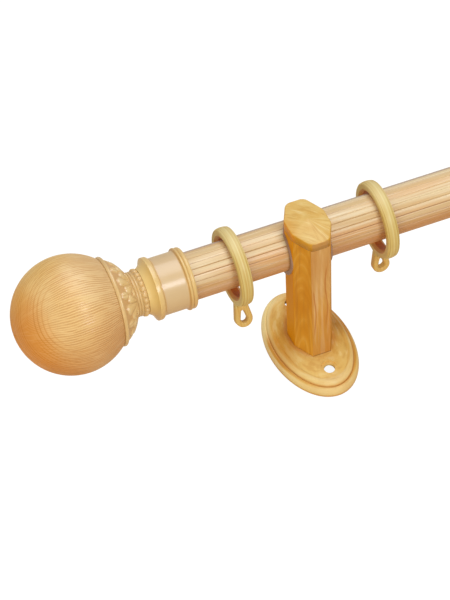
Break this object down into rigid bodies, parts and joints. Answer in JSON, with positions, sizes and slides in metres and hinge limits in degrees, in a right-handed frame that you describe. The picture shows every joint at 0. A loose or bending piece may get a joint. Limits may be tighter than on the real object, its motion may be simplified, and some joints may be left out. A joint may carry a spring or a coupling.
{
  "type": "curtain rod with brackets",
  "caption": "Fluted curtain pole in two open-cradle wall brackets, with a ball finial on each end and sliding rings.",
  "frame": {"origin": "centre of the four wall screw holes, midway between the two wall plates, in the plane of the wall (the plates' backs)", "axes": "+X along the pole, +Y across the posts towards the open side of the cradles (up, when the rod hangs on a wall), +Z out of the wall"},
  "size_m": [0.646, 0.0869, 0.1124],
  "materials": {
    "pole_film": "wood-look film with fine lengthwise grain, satin",
    "plug_plastic": "moulded",
    "zinc_steel": "bright zinc",
    "cream_moulding": "cream, glossy lacquer",
    "ball_wood": "honey stained, satin lacquer",
    "liner_plastic": "grey-brown",
    "ring_plastic": "yellow-cream, satin",
    "plate_moulding": "honey wood-look, glossy lacquer",
    "post_wood": "honey stained, satin lacquer"
  },
  "bodies": {
    "rod_and_brackets": {"pole_tube": "pole_film", "pole_plug_left": "plug_plastic", "finial_stud_left": "zinc_steel", "finial_collar_left": "cream_moulding", "finial_cup_left": "cream_moulding", "finial_ball_left": "ball_wood", "pole_plug_right": "plug_plastic", "finial_stud_right": "zinc_steel", "finial_collar_right": "cream_moulding", "finial_cup_right": "cream_moulding", "finial_ball_right": "ball_wood", "wall_plate_left": "plate_moulding", "bracket_post_left": "post_wood", "post_cap_left": "post_wood", "cradle_liner_left": "liner_plastic", "post_screw_left": "zinc_steel", "wall_plate_right": "plate_moulding", "bracket_post_right": "post_wood", "post_cap_right": "post_wood", "cradle_liner_right": "liner_plastic", "post_screw_right": "zinc_steel"},
    "curtain_ring_1": {"curtain_ring_1": "ring_plastic"},
    "curtain_ring_2": {"curtain_ring_2": "ring_plastic"},
    "curtain_ring_3": {"curtain_ring_3": "ring_plastic"},
    "curtain_ring_4": {"curtain_ring_4": "ring_plastic"},
    "curtain_ring_5": {"curtain_ring_5": "ring_plastic"},
    "curtain_ring_6": {"curtain_ring_6": "ring_plastic"}
  },
  "joints": [
    {"name": "ring_1_slide", "type": "slide", "parent": "rod_and_brackets", "child": "curtain_ring_1", "axis": [1, 0, 0], "range_m": [-0.0237, 0.0242]},
    {"name": "ring_2_slide", "type": "slide", "parent": "rod_and_brackets", "child": "curtain_ring_2", "axis": [1, 0, 0], "range_m": [-0.0304, 0.0284]},
    {"name": "ring_3_slide", "type": "slide", "parent": "rod_and_brackets", "child": "curtain_ring_3", "axis": [1, 0, 0], "range_m": [-0.0284, 0.0284]},
    {"name": "ring_4_slide", "type": "slide", "parent": "rod_and_brackets", "child": "curtain_ring_4", "axis": [1, 0, 0], "range_m": [-0.0284, 0.0284]},
    {"name": "ring_5_slide", "type": "slide", "parent": "rod_and_brackets", "child": "curtain_ring_5", "axis": [1, 0, 0], "range_m": [-0.0284, 0.0304]},
    {"name": "ring_6_slide", "type": "slide", "parent": "rod_and_brackets", "child": "curtain_ring_6", "axis": [1, 0, 0], "range_m": [-0.0242, 0.0237]}
  ]
}
